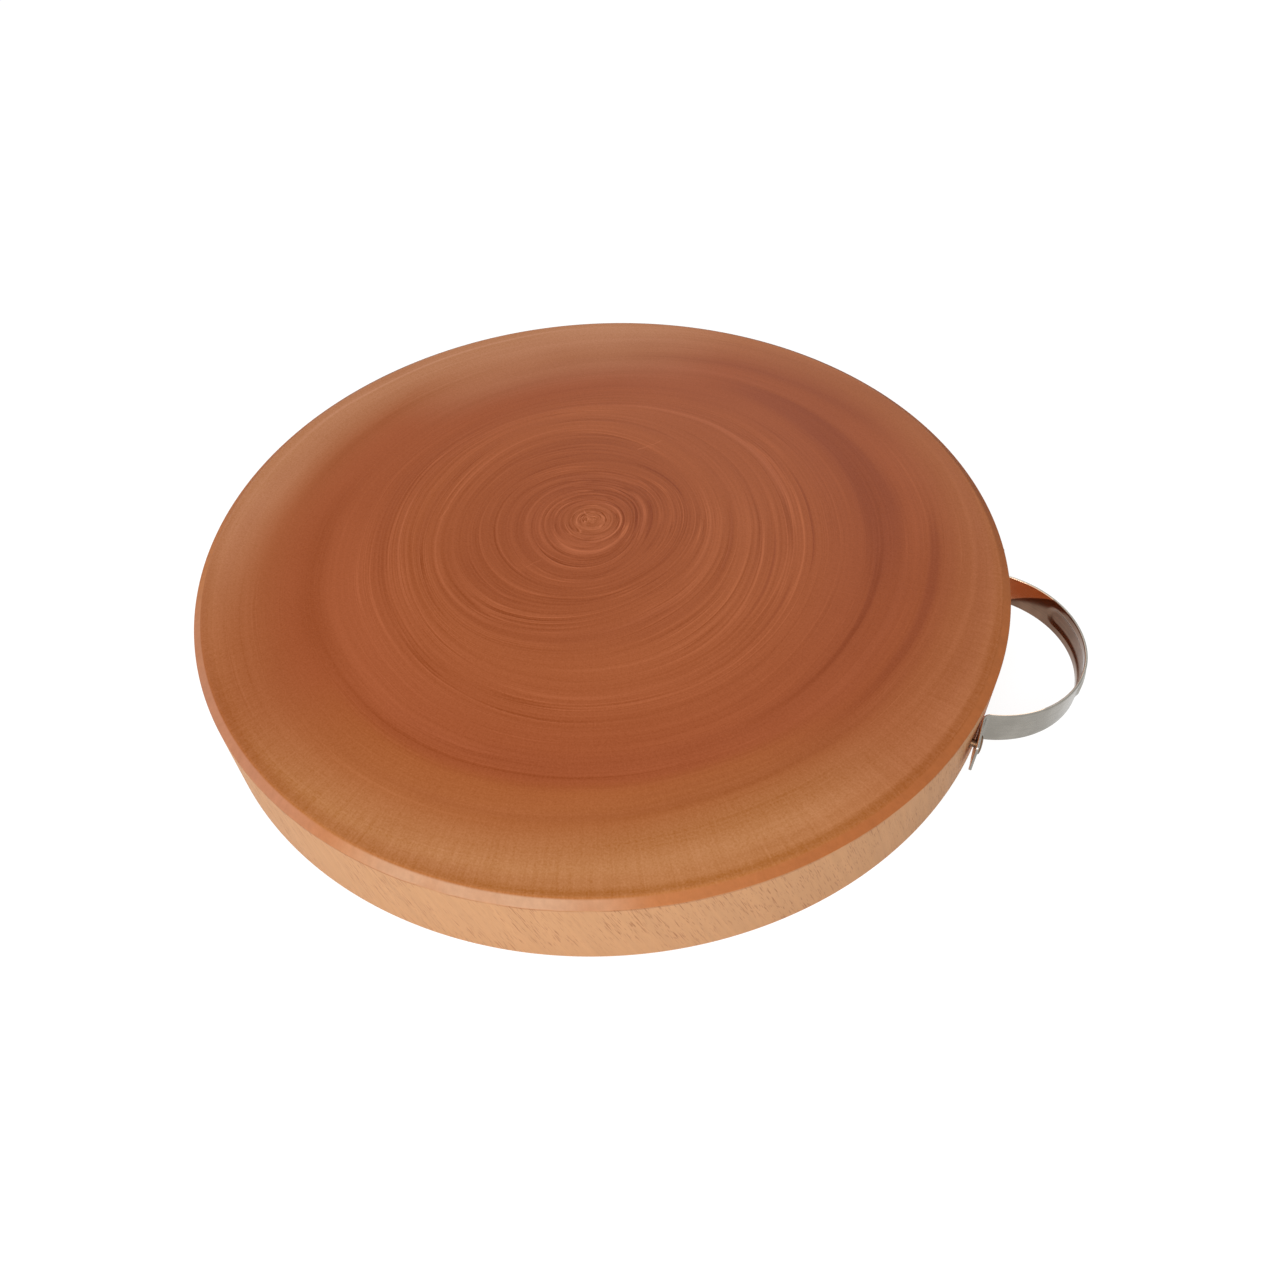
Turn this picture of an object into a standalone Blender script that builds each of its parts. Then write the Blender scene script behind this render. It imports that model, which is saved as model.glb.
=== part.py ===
# Round end-grain cutting board with a bent steel strap handle screwed to its side.
# Metres, +Z up. The origin is the centre of the underside, and the handle stands out along +X.
import math

import bmesh
import bpy
from mathutils import Matrix, Vector

# Board: one slice of a log, turned round
BOARD_RADIUS = 0.180
BOARD_THICKNESS = 0.040
TOP_CHAMFER_WIDTH = 0.0041
TOP_CHAMFER_HEIGHT = 0.0025
UNDERSIDE_CHAMFER = 0.0016
BOARD_SEGMENTS = 192

# Handle: a flat strap bent to a bow, with a foot turned outwards at each end
STRAP_WIDTH = 0.016
STRAP_THICKNESS = 0.0012
HANDLE_REACH = 0.034        # from the board's wall to the outside of the bow
BOW_RADIUS = 0.0415         # outside of the bow
BEND_RADIUS = 0.0025        # inside of the bend between bow and foot
FOOT_LENGTH = 0.0155        # flat length beyond the bend
FOOT_CORNER_RADIUS = 0.0018
TOE_LIFT = math.radians(9.6)  # the flat foot opens away from the round wall towards its toe
BOW_STEP = math.radians(2.5)
BEND_STEPS = 8
FOOT_STEPS = 4              # along the flat foot
TOE_STEPS = 4               # round the toe's corners
STRAP_ROWS = 21             # points across the strap

# Stiffening bead pressed into the grip, hollow on the side of the fingers
BEAD_LENGTH = 0.050
BEAD_WIDTH = 0.0098
BEAD_RIM = 0.0022           # the sloping border round its flat floor
BEAD_DEPTH = 0.0008
BEAD_CENTRE = math.radians(16)  # off the bow's middle, towards +Y

# Wood screws with low round heads, one through each foot
SCREW_INSET = 0.0070        # from the start of the flat foot to the screw
SCREW_HEAD_RADIUS = 0.0040
SCREW_HEAD_HEIGHT = 0.0011
SCREW_LENGTH = 0.025
SCREW_NECK_LENGTH = 0.003
SCREW_NECK_RADIUS = 0.0016
THREAD_CREST_RADIUS = 0.0020
THREAD_ROOT_RADIUS = 0.0014
THREAD_PITCH = 0.0020
TIP_LENGTH = 0.005
CROSS_WIDTH = 0.0010
CROSS_SPAN = 0.0042
CROSS_DEPTH = 0.0007
CROSS_TAPER = 0.75          # width of the recess at its floor, as a share of its mouth
SCREW_SIDES = 16
ROWS_PER_PITCH = 8
HEAD_STEPS = 7
HEAD_ROUNDNESS = 2.6        # exponent of the head's outline, 2 is an ellipse

# Clearances
SEAT_GAP = 0.0003           # between pieces that rest on each other
HOLE_CLEARANCE = 0.0003     # round the screw in the strap's hole and in the wood
BORE_END_CLEARANCE = 0.001  # beyond the screw's tip
CUT_OVERRUN = 0.004         # how far a cutter stands out of what it cuts
HOLE_SIDES = 24
SHARP_ANGLE = math.radians(30)

BOARD_COLOUR = (0.36, 0.105, 0.045, 1.0)
STEEL_COLOUR = (0.55, 0.53, 0.50, 1.0)
SCREW_COLOUR = (0.42, 0.27, 0.12, 1.0)


def clear_scene():
    for item in list(bpy.data.objects):
        bpy.data.objects.remove(item, do_unlink=True)


def make_material(name, colour, roughness, metallic):
    material = bpy.data.materials.new(name)
    material.use_nodes = True
    shader = material.node_tree.nodes["Principled BSDF"]
    shader.inputs["Base Color"].default_value = colour
    shader.inputs["Roughness"].default_value = roughness
    shader.inputs["Metallic"].default_value = metallic
    return material


def add_object(name, mesh_builder, material=None, placement=None):
    """An object from a bmesh, with its faces turned outwards."""
    bmesh.ops.recalc_face_normals(mesh_builder, faces=mesh_builder.faces)
    mesh = bpy.data.meshes.new(name)
    mesh_builder.to_mesh(mesh)
    mesh_builder.free()
    item = bpy.data.objects.new(name, mesh)
    bpy.context.scene.collection.objects.link(item)
    if material:
        mesh.materials.append(material)
        mesh.shade_smooth()
        mesh.set_sharp_from_angle(angle=SHARP_ANGLE)
    if placement:
        item.matrix_world = placement
    return item


def cut(target, cutter):
    """Take the cutter's shape out of the target."""
    cutter.hide_render = True
    cutter.display_type = "WIRE"
    modifier = target.modifiers.new("cut_" + cutter.name, "BOOLEAN")
    modifier.operation = "DIFFERENCE"
    modifier.object = cutter


def turned(rings, sides):
    """A closed turned shape. A ring is (radius, height); a radius may be a function of the angle.
    The first and the last ring are single points on the axis, given by a radius of 0."""
    shape = bmesh.new()
    rows = []
    for radius, height in rings:
        if radius == 0:
            rows.append([shape.verts.new((0, 0, height))])
            continue
        row = []
        for k in range(sides):
            angle = 2 * math.pi * k / sides
            size = radius(angle) if callable(radius) else radius
            row.append(shape.verts.new((size * math.cos(angle), size * math.sin(angle), height)))
        rows.append(row)
    for upper, lower in zip(rows, rows[1:]):
        for k in range(sides):
            following = (k + 1) % sides
            corners = [upper[k % len(upper)], lower[k % len(lower)]]
            if len(lower) > 1:
                corners.append(lower[following])
            if len(upper) > 1:
                corners.append(upper[following])
            shape.faces.new(corners)
    return shape


def make_board(material):
    rim_height = BOARD_THICKNESS - TOP_CHAMFER_HEIGHT
    rings = [
        (0, BOARD_THICKNESS),
        (BOARD_RADIUS - TOP_CHAMFER_WIDTH, BOARD_THICKNESS),
        (BOARD_RADIUS, rim_height),
        (BOARD_RADIUS, UNDERSIDE_CHAMFER),
        (BOARD_RADIUS - UNDERSIDE_CHAMFER, 0),
        (0, 0),
    ]
    return add_object("board", turned(rings, BOARD_SEGMENTS), material)


class HandlePath:
    """Centre line of the strap in plan, worked out for the +Y half and mirrored for the other.

    From the middle of the grip it follows the bow, then a bend that turns the other way,
    then the straight foot. The bend's wall side clears the board by SEAT_GAP."""

    def __init__(self):
        half = STRAP_THICKNESS / 2
        self.bow_radius = BOW_RADIUS - half
        self.bow_centre = Vector((BOARD_RADIUS + HANDLE_REACH - BOW_RADIUS, 0))
        self.bend_radius = BEND_RADIUS + half
        from_axis = BOARD_RADIUS + SEAT_GAP + half + self.bend_radius
        between = self.bow_radius + self.bend_radius
        x = (from_axis**2 - between**2 + self.bow_centre.x**2) / (2 * self.bow_centre.x)
        self.bend_centre = Vector((x, math.sqrt(from_axis**2 - x**2)))
        arm = self.bend_centre - self.bow_centre
        self.bow_end = math.atan2(arm.y, arm.x)
        self.foot_turn = math.atan2(self.bend_centre.y, self.bend_centre.x) - TOE_LIFT
        self.foot_normal = Vector((math.cos(self.foot_turn), math.sin(self.foot_turn)))
        self.foot_direction = Vector((-self.foot_normal.y, self.foot_normal.x))
        self.foot_start = self.bend_centre - self.bend_radius * self.foot_normal

    def on_bow(self, angle):
        normal = Vector((math.cos(angle), math.sin(angle)))
        return self.bow_centre + self.bow_radius * normal, normal

    def on_bend(self, share):
        angle = self.bow_end + share * (self.foot_turn - self.bow_end)
        normal = Vector((math.cos(angle), math.sin(angle)))
        return self.bend_centre - self.bend_radius * normal, normal

    def on_foot(self, distance):
        return self.foot_start + distance * self.foot_direction, self.foot_normal


def foot_half_width(from_toe):
    """Half the strap's width near a foot's rounded end."""
    inside = max(FOOT_CORNER_RADIUS - from_toe, 0)
    return STRAP_WIDTH / 2 - FOOT_CORNER_RADIUS + math.sqrt(FOOT_CORNER_RADIUS**2 - inside**2)


def bead_height(along, across):
    """How far the strap is pressed outwards at a place measured from the bead's middle."""
    straight = (BEAD_LENGTH - BEAD_WIDTH) / 2
    from_spine = math.hypot(max(abs(along) - straight, 0), across)
    share = min(max((BEAD_WIDTH / 2 - from_spine) / BEAD_RIM, 0), 1)
    return BEAD_DEPTH * (1 - math.cos(math.pi * share)) / 2


def half_stations(path):
    """Stations from the middle of the grip to the toe: place, normal, half width, bow angle or None."""
    full = STRAP_WIDTH / 2
    bow_steps = max(round(path.bow_end / BOW_STEP), 1)
    stations = []
    for k in range(bow_steps):
        angle = path.bow_end * k / bow_steps
        stations.append((*path.on_bow(angle), full, angle))
    for k in range(BEND_STEPS):
        stations.append((*path.on_bend(k / BEND_STEPS), full, None))
    flat = FOOT_LENGTH - FOOT_CORNER_RADIUS
    for k in range(FOOT_STEPS):
        stations.append((*path.on_foot(flat * k / FOOT_STEPS), full, None))
    for k in range(TOE_STEPS + 1):
        from_toe = FOOT_CORNER_RADIUS * (1 - math.sin(math.pi / 2 * k / TOE_STEPS))
        stations.append((*path.on_foot(FOOT_LENGTH - from_toe), foot_half_width(from_toe), None))
    return stations


def strap_section(shape, station, side):
    """Points of one cross-section, first across the outer face, then back across the inner one."""
    place, normal, half_width, bow_angle = station
    outer, inner = [], []
    for k in range(STRAP_ROWS):
        across = half_width * (2 * k / (STRAP_ROWS - 1) - 1)
        pressed = 0
        if bow_angle is not None:
            along = (side * bow_angle - BEAD_CENTRE) * (BOW_RADIUS - STRAP_THICKNESS / 2)
            pressed = bead_height(along, across)
        for row, offset in ((outer, STRAP_THICKNESS / 2), (inner, -STRAP_THICKNESS / 2)):
            x, y = place + (offset + pressed) * normal
            row.append(shape.verts.new((x, side * y, BOARD_THICKNESS / 2 + across)))
    return outer + inner[::-1]


def make_strap(path, material):
    stations = half_stations(path)
    shape = bmesh.new()
    sections = [strap_section(shape, station, -1) for station in reversed(stations)]
    sections += [strap_section(shape, station, 1) for station in stations[1:]]
    around = 2 * STRAP_ROWS
    for one, other in zip(sections, sections[1:]):
        for k in range(around):
            following = (k + 1) % around
            shape.faces.new((one[k], one[following], other[following], other[k]))
    for end in (sections[0], sections[-1]):
        for k in range(STRAP_ROWS - 1):
            shape.faces.new((end[k], end[k + 1], end[around - 2 - k], end[around - 1 - k]))
    return add_object("handle_strap", shape, material)


def screw_placement(path, side):
    """Frame of a screw: its origin is under the head, on the foot's outer face, and +Z points out."""
    place, normal = path.on_foot(SCREW_INSET)
    place = place + (STRAP_THICKNESS / 2 + SEAT_GAP) * normal
    outwards = Vector((normal.x, side * normal.y, 0))
    sideways = Vector((0, 0, 1)).cross(outwards)
    frame = Matrix((sideways, outwards.cross(sideways), outwards)).transposed().to_4x4()
    frame.translation = (place.x, side * place.y, BOARD_THICKNESS / 2)
    return frame


def head_rings():
    """Rings of the head from its crown down to its flat underside."""
    power = 2 / HEAD_ROUNDNESS
    rings = [(0, SCREW_HEAD_HEIGHT)]
    for k in range(1, HEAD_STEPS + 1):
        angle = math.pi / 2 * k / HEAD_STEPS
        rise = max(math.cos(angle), 0) ** power if k < HEAD_STEPS else 0
        rings.append((SCREW_HEAD_RADIUS * math.sin(angle) ** power, SCREW_HEAD_HEIGHT * rise))
    return rings


def thread_radius(depth):
    """Radius at a depth below the head, as a function of the angle round the screw."""
    to_tip = SCREW_LENGTH - depth
    taper = min(to_tip / TIP_LENGTH, 1)
    run_in = min((depth - SCREW_NECK_LENGTH) / THREAD_PITCH, 1)

    def radius(angle):
        turn = 2 * math.pi * depth / THREAD_PITCH - angle
        ridge = ((1 + math.cos(turn)) / 2) ** 2
        core = SCREW_NECK_RADIUS + (THREAD_ROOT_RADIUS - SCREW_NECK_RADIUS) * run_in
        return taper * (core + (THREAD_CREST_RADIUS - THREAD_ROOT_RADIUS) * ridge * run_in)

    return radius


def make_screw(name, frame, material):
    rings = head_rings()
    rings += [(SCREW_NECK_RADIUS, 0), (SCREW_NECK_RADIUS, -SCREW_NECK_LENGTH)]
    threaded = SCREW_LENGTH - SCREW_NECK_LENGTH
    rows = round(threaded / THREAD_PITCH * ROWS_PER_PITCH)
    for k in range(1, rows):
        depth = SCREW_NECK_LENGTH + threaded * k / rows
        rings.append((thread_radius(depth), -depth))
    rings.append((0, -SCREW_LENGTH))
    screw = add_object(name, turned(rings, SCREW_SIDES), material, frame)
    cut(screw, cross_cutter(name + "_recess", frame))
    return screw


def cross_cutter(name, frame):
    """A cross-shaped driver recess, narrower at its floor."""
    arm, half = CROSS_SPAN / 2, CROSS_WIDTH / 2
    outline = []
    for k in range(4):
        turn = Matrix.Rotation(k * math.pi / 2, 2)
        for x, y in ((half, -half), (arm, -half), (arm, half)):
            outline.append(turn @ Vector((x, y)))
    shape = bmesh.new()
    low = SCREW_HEAD_HEIGHT - CROSS_DEPTH
    high = SCREW_HEAD_HEIGHT + CUT_OVERRUN
    mouth_share = 1 + (1 - CROSS_TAPER) * CUT_OVERRUN / CROSS_DEPTH
    floor = [shape.verts.new((CROSS_TAPER * p.x, CROSS_TAPER * p.y, low)) for p in outline]
    mouth = [shape.verts.new((mouth_share * p.x, mouth_share * p.y, high)) for p in outline]
    shape.faces.new(floor)
    shape.faces.new(mouth)
    for k in range(len(outline)):
        following = (k + 1) % len(outline)
        shape.faces.new((floor[k], floor[following], mouth[following], mouth[k]))
    return add_object(name, shape, placement=frame)


def hole_cutter(name, frame, radius, top, bottom):
    """A round cutter along the screw's axis between two heights in the screw's frame."""
    shape = turned([(0, top), (radius, top), (radius, bottom), (0, bottom)], HOLE_SIDES)
    return add_object(name, shape, placement=frame)


def main():
    clear_scene()
    path = HandlePath()
    board = make_board(make_material("stained_wood", BOARD_COLOUR, 0.55, 0.0))
    strap = make_strap(path, make_material("strap_steel", STEEL_COLOUR, 0.32, 1.0))
    screw_material = make_material("screw_steel", SCREW_COLOUR, 0.35, 1.0)
    hole_radius = THREAD_CREST_RADIUS + HOLE_CLEARANCE
    for side, name in ((-1, "handle_screw_left"), (1, "handle_screw_right")):
        frame = screw_placement(path, side)
        make_screw(name, frame, screw_material)
        through = -(STRAP_THICKNESS + SEAT_GAP)
        cut(strap, hole_cutter(name + "_strap_hole", frame, hole_radius, CUT_OVERRUN, through - CUT_OVERRUN))
        depth = -(SCREW_LENGTH + BORE_END_CLEARANCE)
        cut(board, hole_cutter(name + "_bore", frame, hole_radius, CUT_OVERRUN, depth))


main()
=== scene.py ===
import math
import bmesh
import bpy
from mathutils import Matrix, Vector


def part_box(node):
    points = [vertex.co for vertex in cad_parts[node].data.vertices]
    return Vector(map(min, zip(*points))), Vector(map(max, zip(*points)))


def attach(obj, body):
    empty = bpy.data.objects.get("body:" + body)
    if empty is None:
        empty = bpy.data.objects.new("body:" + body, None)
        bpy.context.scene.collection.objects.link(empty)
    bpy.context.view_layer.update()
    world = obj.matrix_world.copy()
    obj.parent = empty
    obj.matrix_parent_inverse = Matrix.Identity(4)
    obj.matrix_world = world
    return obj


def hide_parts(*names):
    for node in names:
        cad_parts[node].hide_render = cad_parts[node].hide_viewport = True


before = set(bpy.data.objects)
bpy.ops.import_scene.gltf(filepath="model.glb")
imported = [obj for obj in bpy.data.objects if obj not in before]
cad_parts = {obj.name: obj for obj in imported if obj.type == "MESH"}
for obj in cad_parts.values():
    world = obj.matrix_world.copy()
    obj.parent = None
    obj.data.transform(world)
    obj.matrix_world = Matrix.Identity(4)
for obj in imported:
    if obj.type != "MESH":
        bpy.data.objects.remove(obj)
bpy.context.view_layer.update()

print("frame loaded:", ", ".join(sorted(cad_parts)))

# Round end-grain cutting board with a bent steel strap handle, dressed for close views.
# Metres. The origin is the middle of the underside and the handle stands out along +X.


def wayTo(turn, lift=0.0):  # the direction with this azimuth and elevation
    return Vector((math.cos(turn) * math.cos(lift), math.sin(turn) * math.cos(lift), math.sin(lift)))


def newObject(name, data):
    item = bpy.data.objects.new(name, data)
    bpy.context.scene.collection.objects.link(item)
    return item


# small helpers for node trees

def feed(tree, socket, value):  # a link for a socket, a default for anything else
    if isinstance(value, bpy.types.NodeSocket):
        tree.links.new(value, socket)
    else:
        socket.default_value = value


def addNode(tree, kind, inputs=None, **settings):
    node = tree.nodes.new(kind)
    for name, value in settings.items():
        setattr(node, name, value)
    for key, value in (inputs or {}).items():
        feed(tree, node.inputs[key], value)
    return node


def nodeOut(tree, kind, inputs=None, **settings):
    return addNode(tree, kind, inputs, **settings).outputs[0]


def calc(tree, operation, *values, clamp=False):
    return nodeOut(tree, "ShaderNodeMath", dict(enumerate(values)), operation=operation, use_clamp=clamp)


def plus(tree, value, other):
    return calc(tree, "ADD", value, other)


def minus(tree, value, other):
    return calc(tree, "SUBTRACT", value, other)


def times(tree, value, *others):
    for other in others:
        value = calc(tree, "MULTIPLY", value, other)
    return value


def scaled(tree, vector, size):
    return nodeOut(tree, "ShaderNodeVectorMath", {0: vector, "Scale": size}, operation="SCALE")


def vectorCalc(tree, operation, *values):
    node = addNode(tree, "ShaderNodeVectorMath", dict(enumerate(values)), operation=operation)
    return node.outputs["Value" if operation in ("LENGTH", "DOT_PRODUCT") else "Vector"]


def combine(tree, x, y, z=0.0):
    return nodeOut(tree, "ShaderNodeCombineXYZ", {"X": x, "Y": y, "Z": z})


def turnedPlace(tree, place, angle):  # round the Z axis
    return nodeOut(tree, "ShaderNodeVectorRotate", {"Vector": place, "Angle": angle}, rotation_type="Z_AXIS")


def separate(tree, vector):
    return tuple(addNode(tree, "ShaderNodeSeparateXYZ", {"Vector": vector}).outputs)


def objectPlace(tree):
    return addNode(tree, "ShaderNodeTexCoord").outputs["Object"]


def rise(tree, value, low, high, toLow=0.0, toHigh=1.0):  # smooth step from low to high
    return nodeOut(tree, "ShaderNodeMapRange", {"Value": value, "From Min": low, "From Max": high, "To Min": toLow,
                                                "To Max": toHigh}, interpolation_type="SMOOTHSTEP")


def softLine(tree, value, place, width, strength, full=0.0):  # full strength near the place, none past the width
    return rise(tree, calc(tree, "ABSOLUTE", minus(tree, value, place)), full, width, strength, 0.0)


def noise(tree, vector, scale=1.0, detail=1.0, roughness=0.5):  # the scale is a number, or one for each axis
    if isinstance(scale, tuple):
        vector, scale = vectorCalc(tree, "MULTIPLY", vector, scale), 1.0
    return nodeOut(tree, "ShaderNodeTexNoise", {"Vector": vector, "Scale": scale, "Detail": detail,
                                                "Roughness": roughness})


def evenNoise(tree, *values):  # from about -0.5 to 0.5
    return minus(tree, noise(tree, *values), 0.5)


def ramp(tree, factor, stops, interpolation="LINEAR"):
    node = addNode(tree, "ShaderNodeValToRGB", {"Fac": factor})
    bar = node.color_ramp
    bar.interpolation = interpolation
    bar.elements[0].position, bar.elements[0].color = stops[0]
    bar.elements[1].position, bar.elements[1].color = stops[-1]
    for place, colour in stops[1:-1]:
        bar.elements.new(place).color = colour
    return node.outputs["Color"]


def blend(tree, factor, one, other):
    return addNode(tree, "ShaderNodeMix", {0: factor, 6: one, 7: other}, data_type="RGBA").outputs[2]


def tone(red, green, blue):  # a colour as seen on a screen, made linear
    return tuple(c / 12.92 if c < 0.04045 else ((c + 0.055) / 1.055) ** 2.4
                 for c in (red / 255, green / 255, blue / 255)) + (1.0,)


# camera

viewChoices = {
    "azimuth": math.radians(21.3),      # of the line of sight, from +Y towards -X
    "elevation": math.radians(46.93),
    "roll": math.radians(-4.0),
    "distance": 0.5186,                 # from the middle of the underside
    "focalPixels": 1080.0,
    "framePixels": 1280.0,
    "aimPixel": (605.9, 602.7),         # where the middle of the underside shows
}


def placeCamera(c):
    turn, lift = c["azimuth"], c["elevation"]
    forward, right = wayTo(turn + math.pi / 2, -lift), wayTo(turn)
    down = forward.cross(right)
    half = c["framePixels"] / 2
    aim = Vector([(pixel - half) / c["focalPixels"] for pixel in c["aimPixel"]] + [1])
    toAim = Vector((0, 0, 1)).rotation_difference(aim.normalized()).to_matrix()
    rows = toAim @ Matrix.Rotation(c["roll"], 3, "Z") @ Matrix((right, down, forward))
    axes = Matrix((rows[0], -rows[1], -rows[2])).transposed()
    data = bpy.data.cameras.new("view")
    data.sensor_width = 36.0
    data.lens = data.sensor_width * c["focalPixels"] / c["framePixels"]
    camera = newObject("view", data)
    camera.matrix_world = Matrix.Translation(-c["distance"] * forward) @ axes.to_4x4()
    bpy.context.scene.camera = camera


placeCamera(viewChoices)
bpy.context.scene.view_settings.view_transform = "Standard"
print("camera placed")


# studio: a white floor and sky for the eye, plain soft light for the object

studioChoices = {
    "skyStrength": 0.45,
    "floorSize": 6.0,
    "floorGap": 0.0002,
    "floorAlbedo": 0.86,
    "floorGlow": 0.90,       # what the eye gets from the floor without any light
    "floorCatch": 0.22,      # how strongly the object's shadow shows on it
    # azimuth from the line of sight's right, elevation (degrees), distance, size, watts
    "lamps": {"window": (-112, 38, 1.25, 0.75, 9.0), "back": (72, 34, 1.5, 1.1, 4.5)},
}


def forTheEye(tree, outputKind, plain, shown):  # only camera, glossy and transmission rays get what is shown
    path = addNode(tree, "ShaderNodeLightPath").outputs
    seen = calc(tree, "MAXIMUM", path["Is Camera Ray"], path["Is Glossy Ray"])
    seen = calc(tree, "MAXIMUM", seen, path["Is Transmission Ray"])
    both = nodeOut(tree, "ShaderNodeMixShader", {0: seen, 1: plain, 2: shown})
    addNode(tree, outputKind, {"Surface": both})


def makeWorld(c):
    world = bpy.data.worlds.new("whiteRoom")
    world.use_nodes = True
    tree = world.node_tree
    tree.nodes.clear()
    light, white = (nodeOut(tree, "ShaderNodeBackground", {"Color": (1, 1, 1, 1), "Strength": strength})
                    for strength in (c["skyStrength"], 1.0))
    forTheEye(tree, "ShaderNodeOutputWorld", light, white)
    bpy.context.scene.world = world


def makeFloor(c):
    finish = bpy.data.materials.new("floorWhite")
    finish.use_nodes = True
    tree = finish.node_tree
    tree.nodes.clear()
    bounce, catch = (nodeOut(tree, "ShaderNodeBsdfDiffuse", {"Color": (grey, grey, grey, 1)})
                     for grey in (c["floorAlbedo"], c["floorCatch"]))
    glow = nodeOut(tree, "ShaderNodeEmission", {"Color": (1, 1, 1, 1), "Strength": c["floorGlow"]})
    forTheEye(tree, "ShaderNodeOutputMaterial", bounce, nodeOut(tree, "ShaderNodeAddShader", {0: catch, 1: glow}))
    half, low = c["floorSize"] / 2, -c["floorGap"]
    mesh = bpy.data.meshes.new("floor")
    corners = [(-half, -half, low), (half, -half, low), (half, half, low), (-half, half, low)]
    mesh.from_pydata(corners, [], [(0, 1, 2, 3)])
    mesh.materials.append(finish)
    newObject("floor", mesh)


def makeLamps(c):
    for name, (azimuth, elevation, distance, size, power) in c["lamps"].items():
        data = bpy.data.lights.new(name, "AREA")
        data.shape = "DISK"
        data.size = size
        data.energy = power
        out = wayTo(math.radians(azimuth) + viewChoices["azimuth"], math.radians(elevation))
        turned = out.to_track_quat("Z", "Y").to_matrix().to_4x4()
        newObject(name, data).matrix_world = Matrix.Translation(distance * out) @ turned


makeWorld(studioChoices)
makeFloor(studioChoices)
makeLamps(studioChoices)
print("studio lit")


# materials

ringSpan = 0.18     # the ring coordinate at the end of the colour stops

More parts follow.
